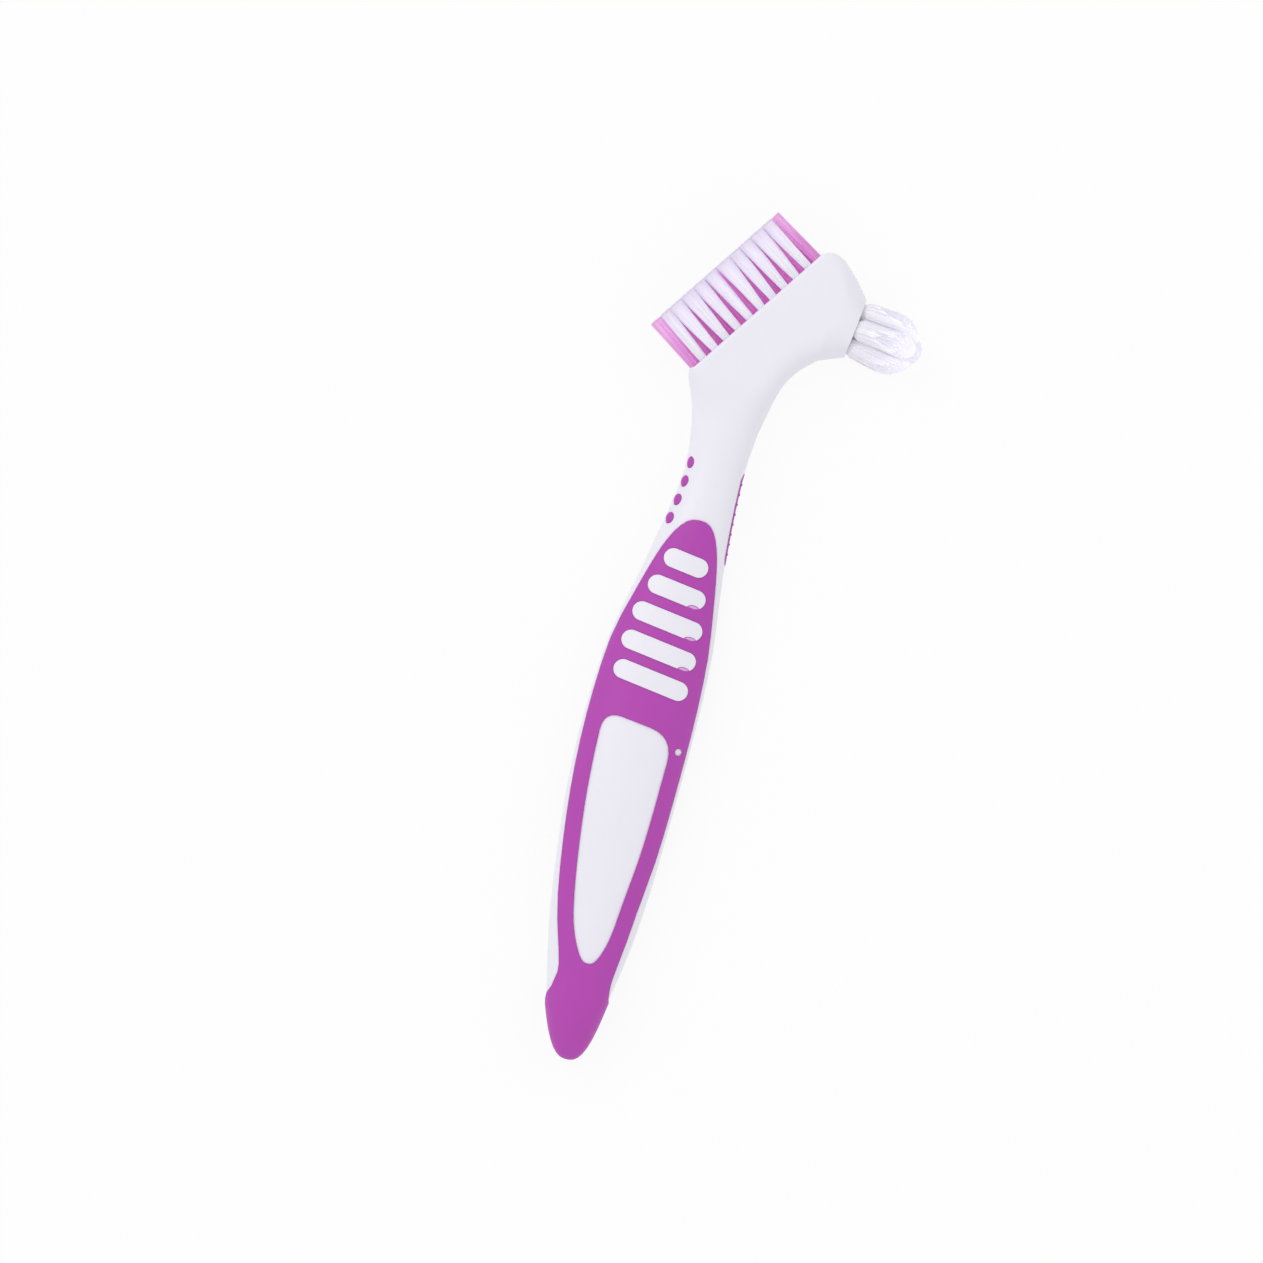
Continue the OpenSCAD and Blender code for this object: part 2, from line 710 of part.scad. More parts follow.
// One tuft of the long block
module block_tuft(row, i) {
    color(row == 0 || row == 3 ? white : violet)
        in_row() at_tuft(row, i) tuft(foot_d(row, i), tuft_tip_d, hole_depth, tuft_h);
}

// One tuft of the small head, trimmed to the dome
module small_tuft(i) {
    color(white) in_row() intersection() {
        at_small_tuft(i) tuft(small_tuft_d, small_tip_d, small_hole_depth, small_h);
        translate([mouth[0], mouth[1], 0]) rotate([0, 90, -small_droop]) union() {
            translate([0, 0, dome_h]) sphere(r = dome_r, $fn = 64);
            translate([0, 0, -2 * small_hole_depth])
                cylinder(r = dome_r, h = 2 * small_hole_depth + dome_h, $fn = 64);
        }
    }
}

// Flat wires across the folds of the tufts
module main_anchor_wires() {
    color(wire) in_row()
        for (row = [0:3], i = [0:row_n(row) - 1]) at_tuft(row, i) anchor(foot_d(row, i), hole_depth);
}
module small_anchor_wires() {
    color(wire) in_row()
        for (i = [0:ring_n]) at_small_tuft(i) anchor(small_tuft_d, small_hole_depth);
}

row_names = ["white_tuft_back_", "purple_tuft_back_", "purple_tuft_front_", "white_tuft_front_"];

handle_body();
grip();
thumb_dots();
finger_strip();
for (row = [0:3], i = [0:row_n(row) - 1])
    block_tuft(row, i);
for (i = [0:ring_n])
    small_tuft(i);
main_anchor_wires();
small_anchor_wires();
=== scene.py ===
"""Looks of a denture brush: smooth mouldings, bristle strands, finishes and a pale studio."""
import math
import random

import bmesh
import bpy
from bpy.props import FloatProperty, FloatVectorProperty, PointerProperty
from bpy.types import Operator, Panel, PropertyGroup
from mathutils import Matrix, Vector
from mathutils.bvhtree import BVHTree
from mathutils.interpolate import poly_3d_calc


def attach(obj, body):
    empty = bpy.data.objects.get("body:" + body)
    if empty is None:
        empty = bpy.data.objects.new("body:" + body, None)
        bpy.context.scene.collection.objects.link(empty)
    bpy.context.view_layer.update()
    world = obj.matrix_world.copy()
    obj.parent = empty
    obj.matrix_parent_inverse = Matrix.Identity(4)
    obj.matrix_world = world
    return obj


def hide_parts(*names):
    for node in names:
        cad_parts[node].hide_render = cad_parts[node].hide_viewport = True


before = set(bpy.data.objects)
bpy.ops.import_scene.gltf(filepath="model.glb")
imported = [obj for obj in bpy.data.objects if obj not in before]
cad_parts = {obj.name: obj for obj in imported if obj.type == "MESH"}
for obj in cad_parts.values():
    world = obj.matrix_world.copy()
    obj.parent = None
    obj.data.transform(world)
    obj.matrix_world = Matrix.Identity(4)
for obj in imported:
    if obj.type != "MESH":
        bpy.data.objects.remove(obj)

bl_info = {
    "name": "Denture brush",
    "version": (1, 0, 0),
    "blender": (4, 5, 0),
    "location": "3D View > Sidebar > Denture brush",
    "description": "Dresses the solids of a denture brush with smooth surfaces, bristles and finishes",
    "category": "Object",
}

MM = 0.001

# Sizes of the brush in millimetres, from the tail tip, as the solids have them
HANDLE_L = 135
TAIL_ROUND = 10
HEAD_T = 14
RUBBER_RISE = 0.25
SWAY = 2.45
ROOT_W = 14.1
ROOT_T = 11.4
FACE_L = 35.4
FACE_ANGLE = math.radians(54.6)
FACE_EDGE = 0.8
BACK_ROUND = 4.8
FOOT = Vector((-8.2, 145.2))
FOOT_RISE = 10.2
SMALL_REACH = Vector((30.75, 15.5))  # from FOOT to the middle of the small head's mouth
SMALL_DROOP = math.radians(8.2)
COLLAR_D = 12.6

# Stations along the handle: share of its length, width, thickness and share of the sideways bow
STATIONS = [
    (TAIL_ROUND / HANDLE_L, 11.9, 9.4, 0.71),
    (0.222, 18.9, 12, 0.82),
    (0.444, 23.1, HEAD_T - 2 * RUBBER_RISE, 1),
    (0.637, 22.1, 12.6, 0.67),
    (0.785, 16, 11.2, 0.18),
    (0.926, 12.1, 10.4, -0.37),
    (1, ROOT_W, ROOT_T, -0.37),
]
TIP_BOW = 0.37
TAIL_POWER = 0.42

# Corners of an oval section as a share of its half sizes, and the steps of a quarter of a section
OVAL = 0.96
QUARTER = 6

# Rings of the outer form: in the round tail, in the shaft and in the head, and the first one's
# share of the round tail. Of the head's rings, the face's first and last and the crown's first
TAIL_RINGS = 7
SHAFT_RINGS = 24
HEAD_RINGS = 30
TIP_SHARE = 0.002
FACE_FIRST = 8
FACE_LAST = 17
CROWN_FIRST = 24

# Bends of the head's outline: the throat from FOOT in shares of its rise, the crown from the
# face's upper end in shares of the head's thickness, the crotch from the root in shares of the
# root's width, and the crotch's last one from the mouth's lower edge in shares of the collar
THROAT_BENDS = [(0.108, -0.647), (-0.01, -0.343), (-0.078, -0.127), (-0.064, -0.039)]
CROWN_BENDS = [
    (0.079, -0.043), (0.15, -0.121), (0.189, -0.271),
    (0.175, -0.436), (0.136, -0.643), (0.093, -0.821),
]
CROTCH_BENDS = [(0.152, 0.652), (0.34, 1), (0.589, 1.234)]
COLLAR_BEND = (0.287, 0.102)

# Shares of the crotch that face the throat and the throat and face together, how much faster
# than the throat runs the head swells to its full thickness, and where the outline of the face
# begins, in shares of its edge's radius
THROAT_SHARE = 0.25
FACE_SHARE = 0.65
SWELL_RATE = 1.25
FACE_START = 0.15

# Corners closer than this are one, in millimetres
MERGE = 0.001

# A facet lies on the outer form if its normal is within the first angle of the form's, and on
# the same wall as its neighbour within the second
FORM_ANGLE = math.radians(24)
WALL_ANGLE = math.radians(38)

# Bristles of the long block: the names of each row's tufts and their number, from the lowest up
ROWS = [
    ("white_tuft_back_", 10),
    ("purple_tuft_back_", 11),
    ("purple_tuft_front_", 11),
    ("white_tuft_front_", 10),
]
TUFT_PITCH = 3.2
BLOCK_SHIFT = 0.7
END_OUT = (0.25, 0.85)
ROW_PITCH = 3.1
TUFT_D = 1.8
END_TUFT_D = 2.6
TUFT_FAN_D = 3.8
TUFT_H = 12.6
HOLE_DEPTH = 3.6
OUTER_LEAN = 0
INNER_LEAN = (-2, 5)

# Bristles of the small head, in millimetres and degrees
RING_N = 6
RING_R = 4.2
SMALL_TUFT_D = 3.3
SMALL_FAN_D = 5.3
SMALL_H = 14.7
SMALL_LEAN = 4
SMALL_HOLE_DEPTH = 4.2

# Trim of the small head: its half width up to a height, that height, and how it closes above
TRIM_R = 6.9
TRIM_FROM = 7
TRIM_POWER = 0.75

# How bristles fan out of their holes: the height of the first bend, the share of the fanning
# that the small head's bristles do there, and the most that a held side of an end tuft grows
FIRST_BEND = 1.2
SMALL_EARLY = 0.6
HELD_GROWTH = 1.22

# How much closer than side by side in a round hole the strands of the two heads stand
BLOCK_CROWD = 1.4
SMALL_CROWD = 1.6

# Centres of the three rubber runners' tops on the grip's face, their length and width, how far
# they stand in from the end of their slot and under its edge, the slots' width and slope, and
# where the outlines of the runners and the slots start to soften, as shares of their reach
FEEDS = [Vector((4.196, 83.269)), Vector((4.082, 89.646)), Vector((3.229, 96.16))]
FEED_L = 3.2
FEED_W = 2.2
FEED_IN = 1.7
FEED_SINK = 0.3
SLOT_W = 4
SLOT_SLOPE = math.radians(9)
FEED_SOFT = 0.82
SLOT_SOFT = 0.9

# Far enough out of an oval to lie beyond everything, in shares of its half width
BEYOND = 10

# Place of the tail tip on the middle plane, from the middle of the brush on the floor
ROW_SHIFT = Vector((-9.24099, -90.10594, HEAD_T / 2))

# The view: the place in its middle, the width that it covers, its turn, all from the same
# middle of the brush in millimetres, and the camera's distance in metres
VIEW_MIDDLE = Vector((-17.411, -1.016, HEAD_T / 2))
VIEW_WIDTH = 261.7
VIEW_TURN = math.radians(13.3)
VIEW_DISTANCE = 1.6

# Light: the surround's strength, the floor's share of plain white where it is seen, and the
# lamp's place and width in metres and its power in watts
SURROUND = 1.1
FLOOR_WHITE = 0.9
LAMP_PLACE = Vector((-0.7, 0.45, 0.95))
LAMP_W = 0.7
LAMP_POWER = 2.2


def mix(a, b, t):
    """Number or point at the share t between two others."""
    return a + (b - a) * t


def soft(t):
    """Share that starts and ends level."""
    c = min(1, max(0, t))
    return c * c * (3 - 2 * c)


def slope(table, column, i):
    """Rise of a table's column at one row, from the rows beside it."""
    low = table[max(0, i - 1)]
    high = table[min(len(table) - 1, i + 1)]
    return (high[column] - low[column]) / (high[0] - low[0])


def along(table, column, place):
    """Value of a table's column at a place, by a smooth curve through the rows."""
    i = max(0, min(len(table) - 2, sum(row[0] <= place for row in table) - 1))
    step = table[i + 1][0] - table[i][0]
    u = (place - table[i][0]) / step
    return (
        (1 + 2 * u) * (1 - u) ** 2 * table[i][column]
        + u * (1 - u) ** 2 * step * slope(table, column, i)
        + u * u * (3 - 2 * u) * table[i + 1][column]
        - u * u * (1 - u) * step * slope(table, column, i + 1)
    )


def spline(points, place):
    """Point of a smooth curve through evenly numbered points."""
    i = min(len(points) - 2, int(place))
    u = place - i
    a = points[max(0, i - 1)]
    b = points[i]
    c = points[i + 1]
    d = points[min(len(points) - 1, i + 2)]
    return (
        b + (c - a) * (u / 2) + (a - b * 2.5 + c * 2 - d / 2) * (u * u)
        + (b * 1.5 - a / 2 - c * 1.5 + d / 2) * u ** 3
    )


def half_size(column, y):
    """Half width or half thickness of the handle."""
    if y < TAIL_ROUND:
        return STATIONS[0][column] / 2 * (y / TAIL_ROUND) ** TAIL_POWER
    return along(STATIONS, column, y / HANDLE_L) / 2


def bow(y):
    """Sideways place of the handle's centre line."""
    if y < TAIL_ROUND:
        return -SWAY * mix(TIP_BOW, STATIONS[0][3], y / TAIL_ROUND)
    return -SWAY * along(STATIONS, 3, y / HANDLE_L)


def section(left, right, half, left_corner, right_corner):
    """Closed section between two edge points, with oval corners of its own on each side."""
    centre = (left + right) / 2
    reach = (right - left).length / 2
    out = (right - left) / (2 * reach)
    points = []
    for quarter in range(4):
        corner = left_corner if quarter in (1, 2) else right_corner
        side = -1 if quarter in (1, 2) else 1
        top = 1 if quarter < 2 else -1
        for i in range(QUARTER + 1):
            turn = math.radians(90 * (quarter + i / QUARTER))
            place = side * (reach - corner[0]) + corner[0] * math.cos(turn)
            height = top * (half - corner[1]) + corner[1] * math.sin(turn)
            flat = centre + out * place
            points.append(Vector((flat.x, flat.y, height)))
    return points


def shaft_ring(y):
    """Section of the handle."""
    a = half_size(1, y)
    b = half_size(2, y)
    corner = (a * OVAL, b * OVAL)
    return section(Vector((bow(y) - a, y)), Vector((bow(y) + a, y)), b, corner, corner)


def face_point(along_face, out):
    """Point of the head's own frame: along the bristle face, and out of it."""
    c = math.cos(FACE_ANGLE)
    s = math.sin(FACE_ANGLE)
    return FOOT + Vector((c, s)) * along_face + Vector((-s, c)) * out


def head_rings():
    """Sections of the head, from its root to the small head's mouth."""
    mouth = FOOT + SMALL_REACH
    mouth_up = Vector((math.sin(SMALL_DROOP), math.cos(SMALL_DROOP))) * COLLAR_D / 2
    root = Vector((bow(HANDLE_L), HANDLE_L))
    half_root = Vector((half_size(1, HANDLE_L), 0))
    end = FACE_START * FACE_EDGE
    throat = [root - half_root]
    throat += [FOOT + Vector(bend) * FOOT_RISE for bend in THROAT_BENDS]
    throat += [face_point(end, 0)]
    crown = [face_point(FACE_L - end, 0)]
    crown += [face_point(FACE_L + HEAD_T * x, HEAD_T * y) for x, y in CROWN_BENDS]
    crown += [mouth + mouth_up]
    right_root = root + half_root
    crotch = [right_root]
    crotch += [right_root + ROOT_W * Vector(bend) for bend in CROTCH_BENDS]
    crotch += [mouth - mouth_up - COLLAR_D * Vector(COLLAR_BEND), mouth - mouth_up]
    rings = []
    for k in range(1, HEAD_RINGS + 1):
        if k <= FACE_FIRST:
            share = k / FACE_FIRST
            left = spline(throat, (len(throat) - 1) * share)
            right_share = THROAT_SHARE * share
        elif k <= FACE_LAST:
            share = (k - FACE_FIRST) / (FACE_LAST - FACE_FIRST)
            left = face_point(mix(end, FACE_L - end, share), 0)
            right_share = mix(THROAT_SHARE, FACE_SHARE, share)
        else:
            share = (k - FACE_LAST) / (HEAD_RINGS - FACE_LAST)
            left = spline(crown, (len(crown) - 1) * share)
            right_share = mix(FACE_SHARE, 1, share)
        right = spline(crotch, (len(crotch) - 1) * right_share)
        swell = soft(SWELL_RATE * k / FACE_FIRST)
        close = soft((k - CROWN_FIRST) / (HEAD_RINGS - CROWN_FIRST))
        turned = soft((k - FACE_LAST) / (HEAD_RINGS - FACE_LAST))
        a = (right - left).length / 2
        b = mix(mix(ROOT_T / 2, HEAD_T / 2, swell), COLLAR_D / 2, close)
        oval = Vector((a, b)) * OVAL
        flat = mix(oval, Vector((FACE_EDGE, FACE_EDGE)), swell)
        back = mix(oval, Vector((BACK_ROUND, BACK_ROUND)), swell)
        rings.append(section(left, right, b, mix(flat, oval, turned), mix(back, oval, turned)))
    return rings


class OuterForm:
    """The white moulding's outer form before anything is cut, which gives its smooth normals."""

    def __init__(self):
        heights = [TAIL_ROUND * (k / TAIL_RINGS) ** 2 for k in range(TAIL_RINGS + 1)]
        heights[0] = TAIL_ROUND * TIP_SHARE
        step = (HANDLE_L - TAIL_ROUND) / SHAFT_RINGS
        heights += [TAIL_ROUND + k * step for k in range(1, SHAFT_RINGS + 1)]
        rings = [shaft_ring(y) for y in heights] + head_rings()
        bm = bmesh.new()
        loops = []
        for ring in rings:
            verts = [bm.verts.new((p + ROW_SHIFT) * MM) for p in ring]
            loops.append([bm.edges.new((verts[i - 1], verts[i])) for i in range(len(verts))])
        for low, high in zip(loops, loops[1:]):
            bmesh.ops.bridge_loops(bm, edges=low + high)
        bmesh.ops.holes_fill(bm, edges=loops[0] + loops[-1], sides=0)
        bmesh.ops.recalc_face_normals(bm, faces=bm.faces)
        caps = [f for f in bm.faces if len(f.verts) > 4]
        bmesh.ops.delete(bm, geom=caps, context="FACES_ONLY")
        bmesh.ops.triangulate(bm, faces=bm.faces)
        bm.normal_update()
        bm.verts.index_update()
        self.points = [v.co.copy() for v in bm.verts]
        self.normals = []
        for v in bm.verts:
            total = Vector()
            for f in v.link_faces:
                total += f.normal * f.calc_area()
            self.normals.append(total.normalized())
        self.faces = [[v.index for v in f.verts] for f in bm.faces]
        self.tree = BVHTree.FromPolygons(self.points, self.faces)
        bm.free()

    def normal(self, point):
        """Smooth normal of the form at its place nearest to a point."""
        place, _, index, _ = self.tree.find_nearest(point)
        corners = self.faces[index]
        weights = poly_3d_calc([self.points[i] for i in corners], place)
        total = Vector()
        for weight, i in zip(weights, corners):
            total += self.normals[i] * weight
        return total.normalized()


def smooth_copy(node, name, form=None):
    """Merged copy of a solid: smooth on the outer form, with creases where walls meet it."""
    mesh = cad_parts[node].data.copy()
    mesh.name = name
    bm = bmesh.new()
    bm.from_mesh(mesh)
    bmesh.ops.remove_doubles(bm, verts=bm.verts, dist=MERGE * MM)
    bm.normal_update()
    near_form = math.cos(FORM_ANGLE)
    same_wall = math.cos(WALL_ANGLE)
    outer = {}
    on_form = set()
    if form:
        for f in bm.faces:
            if f.normal.dot(form.normal(f.calc_center_median())) > near_form:
                on_form.add(f)
        for f in on_form:
            for v in f.verts:
                if v not in outer:
                    outer[v] = form.normal(v.co)
    areas = {f: f.calc_area() for f in bm.faces}
    normals = []
    for f in bm.faces:
        f.smooth = True
        for loop in f.loops:
            if f in on_form:
                normals.append(outer[loop.vert])
                continue
            total = Vector()
            for other in loop.vert.link_faces:
                if other not in on_form and other.normal.dot(f.normal) > same_wall:
                    total += other.normal * areas[other]
            normals.append(total.normalized() if total.length > 0 else f.normal.copy())
    bm.to_mesh(mesh)
    bm.free()
    mesh.normals_split_custom_set(normals)
    mesh.materials.clear()
    piece = bpy.data.objects.new(name, mesh)
    bpy.context.scene.collection.objects.link(piece)
    return piece


def finish_piece(piece, material, nodes):
    """Gives a piece its finish and its slot, and puts it in the place of its solids."""
    piece.data.materials.append(material)
    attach(piece, "root")
    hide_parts(*nodes)


def linear(code):
    """Linear colour of an sRGB hex code."""
    parts = [int(code[i:i + 2], 16) / 255 for i in (1, 3, 5)]
    return [c / 12.92 if c <= 0.04045 else ((c + 0.055) / 1.055) ** 2.4 for c in parts]


def add_node(tree, kind, links=None, **settings):
    """Adds a node, sets its inputs by name and its own settings, and links its inputs."""
    node = tree.nodes.new(kind)
    for key, value in settings.items():
        if hasattr(node, key):
            setattr(node, key, value)
        else:
            node.inputs[key.replace("_", " ")].default_value = value
    for key, source in (links or {}).items():
        tree.links.new(source, node.inputs[key])
    return node


def new_material(name):
    """Empty node material with its output."""
    material = bpy.data.materials.new(name)
    material.use_nodes = True
    tree = material.node_tree
    tree.nodes.clear()
    return material, tree, tree.nodes.new("ShaderNodeOutputMaterial")


def white_polypropylene(name):
    """Injection moulded polypropylene from a polished mould.

    The eye sees a milky, faintly lavender white with a soft gloss, a barely uneven surface and a
    fine parting line round the edge.
    """
    colours = bpy.context.scene.denture_brush_colours
    sizes = bpy.context.scene.denture_brush_sizes
    material, tree, output = new_material(name)
    place = add_node(tree, "ShaderNodeTexCoord").outputs["Object"]
    # Broad shrinkage waves about 7 mm wide, and the mould's fine polish marks
    waves = add_node(tree, "ShaderNodeTexNoise", {"Vector": place}, Scale=1 / (7 * MM), Detail=1.0)
    grain = add_node(tree, "ShaderNodeTexNoise", {"Vector": place}, Scale=1 / (0.35 * MM), Detail=2.0)
    # The parting line is a ridge 0.12 mm wide on the middle plane
    height = add_node(tree, "ShaderNodeSeparateXYZ", {"Vector": place}).outputs["Z"]
    off = add_node(tree, "ShaderNodeMath", {0: height}, operation="SUBTRACT")
    off.inputs[1].default_value = HEAD_T / 2 * MM
    away = add_node(tree, "ShaderNodeMath", {0: off.outputs[0]}, operation="ABSOLUTE")
    ridge = add_node(tree, "ShaderNodeMapRange", {"Value": away.outputs[0]},
                     interpolation_type="SMOOTHSTEP")
    ridge.inputs["From Max"].default_value = 0.12 * MM
    ridge.inputs["To Min"].default_value = 1
    ridge.inputs["To Max"].default_value = 0
    edge = add_node(tree, "ShaderNodeBevel", samples=4, Radius=sizes.edge_round)
    wavy = add_node(tree, "ShaderNodeBump", {"Height": waves.outputs["Fac"], "Normal": edge.outputs[0]},
                    Strength=0.25, Distance=0.05 * MM)
    rough = add_node(tree, "ShaderNodeBump", {"Height": grain.outputs["Fac"], "Normal": wavy.outputs[0]},
                     Strength=0.12, Distance=0.01 * MM)
    lined = add_node(tree, "ShaderNodeBump", {"Height": ridge.outputs[0], "Normal": rough.outputs[0]},
                     Strength=0.5, Distance=0.04 * MM)
    # The white drifts a little over about 12 mm
    drift = add_node(tree, "ShaderNodeTexNoise", {"Vector": place}, Scale=1 / (12 * MM), Detail=2.0)
    tone = add_node(tree, "ShaderNodeMix", {"Factor": drift.outputs["Fac"]}, data_type="RGBA")
    tone.inputs["A"].default_value = [c * 0.975 for c in colours.plastic] + [1]
    tone.inputs["B"].default_value = list(colours.plastic) + [1]
    polish = add_node(tree, "ShaderNodeMapRange", {"Value": waves.outputs["Fac"]})
    polish.inputs["To Min"].default_value = 0.3
    polish.inputs["To Max"].default_value = 0.38
    shader = add_node(tree, "ShaderNodeBsdfPrincipled", {
        "Base Color": tone.outputs["Result"],
        "Roughness": polish.outputs[0],
        "Normal": lined.outputs[0],
    }, IOR=1.49)
    shader.inputs["Subsurface Weight"].default_value = 0.12
    shader.inputs["Subsurface Radius"].default_value = (1, 0.9, 1)
    shader.inputs["Subsurface Scale"].default_value = 1.2 * MM
    tree.links.new(shader.outputs[0], output.inputs["Surface"])
    return material


def inside_oval(tree, place, centre, size, soft_from, least=None):
    """Share of an oval on the grip's face at a place: 1 in its middle, 0 outside.

    Places are pushed up to least, which draws the oval out without end towards its own -X side.
    """
    oval = add_node(tree, "ShaderNodeMapping", {"Vector": place}, vector_type="TEXTURE")
    oval.inputs["Location"].default_value = (Vector((*centre, 0)) + ROW_SHIFT) * MM
    oval.inputs["Rotation"].default_value = (0, 0, -SLOT_SLOPE)
    oval.inputs["Scale"].default_value = (size[0] / 2 * MM, size[1] / 2 * MM, 1)
    local = oval.outputs[0]
    if least:
        kept = add_node(tree, "ShaderNodeVectorMath", {0: local}, operation="MAXIMUM")
        kept.inputs[1].default_value = least
        local = kept.outputs[0]
    away = add_node(tree, "ShaderNodeVectorMath", {0: local}, operation="LENGTH")
    inside = add_node(tree, "ShaderNodeMapRange", {"Value": away.outputs["Value"]})
    inside.inputs["From Min"].default_value = 1
    inside.inputs["From Max"].default_value = soft_from
    return inside.outputs[0]


def feed_tops(tree, place):
    """Share of a runner's top at a place: its oval, as far as that lies in its slot."""
    found = None
    turn = Matrix.Rotation(-SLOT_SLOPE, 2)
    for centre in FEEDS:
        end = centre + turn @ Vector((FEED_IN - SLOT_W / 2, FEED_SINK + SLOT_W / 2))
        oval = inside_oval(tree, place, centre, (FEED_L, FEED_W), FEED_SOFT)
        slot = inside_oval(tree, place, end, (SLOT_W, SLOT_W), SLOT_SOFT, (0, -BEYOND, -BEYOND))
        both = add_node(tree, "ShaderNodeMath", {0: oval, 1: slot}, operation="MINIMUM").outputs[0]
        if found:
            both = add_node(tree, "ShaderNodeMath", {0: found, 1: both}, operation="MAXIMUM").outputs[0]
        found = both
    return found


def purple_rubber(name, colour, marked):
    """Overmoulded thermoplastic rubber from a lightly blasted mould.

    The eye sees a matte, even magenta purple that turns paler where it rolls away at an edge,
    and paler still at the runners' tops, three lens-shaped marks in the grip's slots.
    """
    colours = bpy.context.scene.denture_brush_colours
    sizes = bpy.context.scene.denture_brush_sizes
    material, tree, output = new_material(name)
    place = add_node(tree, "ShaderNodeTexCoord").outputs["Object"]
    # The purple drifts a little over about 9 mm, and the blasted mould leaves a 0.2 mm grain
    drift = add_node(tree, "ShaderNodeTexNoise", {"Vector": place}, Scale=1 / (9 * MM), Detail=3.0)
    grain = add_node(tree, "ShaderNodeTexNoise", {"Vector": place}, Scale=1 / (0.2 * MM), Detail=2.0)
    tone = add_node(tree, "ShaderNodeMix", {"Factor": drift.outputs["Fac"]}, data_type="RGBA")
    tone.inputs["A"].default_value = [c * 0.95 for c in colour] + [1]
    tone.inputs["B"].default_value = [min(1, c * 1.05) for c in colour] + [1]
    seen = tone.outputs["Result"]
    if marked:
        # Paler lens-shaped marks at the runners' tops, drawn in the runner colour
        marks = add_node(tree, "ShaderNodeMix", {"Factor": feed_tops(tree, place), "A": seen},
                         data_type="RGBA")
        marks.inputs["B"].default_value = [*colours.runner, 1]
        seen = marks.outputs["Result"]
    edge = add_node(tree, "ShaderNodeBevel", samples=4, Radius=sizes.edge_round)
    rough = add_node(tree, "ShaderNodeBump", {"Height": grain.outputs["Fac"], "Normal": edge.outputs[0]},
                     Strength=0.3, Distance=0.012 * MM)
    polish = add_node(tree, "ShaderNodeMapRange", {"Value": drift.outputs["Fac"]})
    polish.inputs["To Min"].default_value = 0.46
    polish.inputs["To Max"].default_value = 0.56
    shader = add_node(tree, "ShaderNodeBsdfPrincipled", {
        "Base Color": seen,
        "Roughness": polish.outputs[0],
        "Normal": rough.outputs[0],
    }, IOR=1.5)
    shader.inputs["Sheen Weight"].default_value = 0.2
    shader.inputs["Sheen Roughness"].default_value = 0.4
    shader.inputs["Sheen Tint"].default_value = [*linear("#f0c8ee"), 1]
    tree.links.new(shader.outputs[0], output.inputs["Surface"])
    return material


# Of a nylon: the darkest strand's share of its colour, the tips' painted paler colour (painted highlight
# and reflection) and how much of it shows, the colour of a painted glow, and how strong that is along
# the strands and at a tip
WHITE_LOOK = (0.88, "#eaddf8", 0.7, "#ece6ff", (0.08, 0.08))
SMALL_LOOK = (0.86, "#f7f5ff", 0.9, "#f0edfa", (0.05, 0.22))
PURPLE_LOOK = (0.5, "#f2dcf8", 0.5, "#ff10d0", (0.18, 0.18))


def nylon(name, colour, dark, tip, tip_share, painted_glow, painted_glow_strengths):
    """Extruded and drawn nylon strand, cut square and end-rounded.

    The eye sees a clear, slightly glossy thread, each a little lighter or darker than its
    neighbour, and painted paler towards its ground tip: a painted highlight and reflection. A painted
    glow, strongest at the tip, lights the strands, so that the depth of a bundle isn't dark but has the
    thread's own colour.
    """
    material, tree, output = new_material(name)
    strand = add_node(tree, "ShaderNodeAttribute", attribute_name="strand")
    reach = add_node(tree, "ShaderNodeAttribute", attribute_name="reach")
    tone = add_node(tree, "ShaderNodeMix", {"Factor": strand.outputs["Fac"]}, data_type="RGBA")
    tone.inputs["A"].default_value = [c * dark for c in colour] + [1]
    tone.inputs["B"].default_value = list(colour) + [1]
    # Painted highlight and reflection: the strands turn paler towards their tips
    near_tip = add_node(tree, "ShaderNodeMapRange", {"Value": reach.outputs["Fac"]})
    near_tip.inputs["From Min"].default_value = 0.3
    near_tip.inputs["To Max"].default_value = tip_share
    pale = add_node(tree, "ShaderNodeMix", {"Factor": near_tip.outputs[0], "A": tone.outputs["Result"]},
                    data_type="RGBA")
    pale.inputs["B"].default_value = [*linear(tip), 1]
    shader = add_node(tree, "ShaderNodeBsdfPrincipled", {"Base Color": pale.outputs["Result"]},
                      Roughness=0.34, IOR=1.53)
    # Painted glow, strongest at the tips, that stands in for light in the bundle's shaded depth
    shader.inputs["Emission Color"].default_value = [*linear(painted_glow), 1]
    painted_glow_strength = add_node(tree, "ShaderNodeMapRange", {"Value": reach.outputs["Fac"]})
    painted_glow_strength.inputs["From Min"].default_value = 0.7
    painted_glow_strength.inputs["To Min"].default_value = painted_glow_strengths[0]
    painted_glow_strength.inputs["To Max"].default_value = painted_glow_strengths[1]
    tree.links.new(painted_glow_strength.outputs[0], shader.inputs["Emission Strength"])
    # The painted glow is faint, so the strands aren't sampled as lamps
    material.cycles.emission_sampling = "NONE"
    tree.links.new(shader.outputs[0], output.inputs["Surface"])
    return material


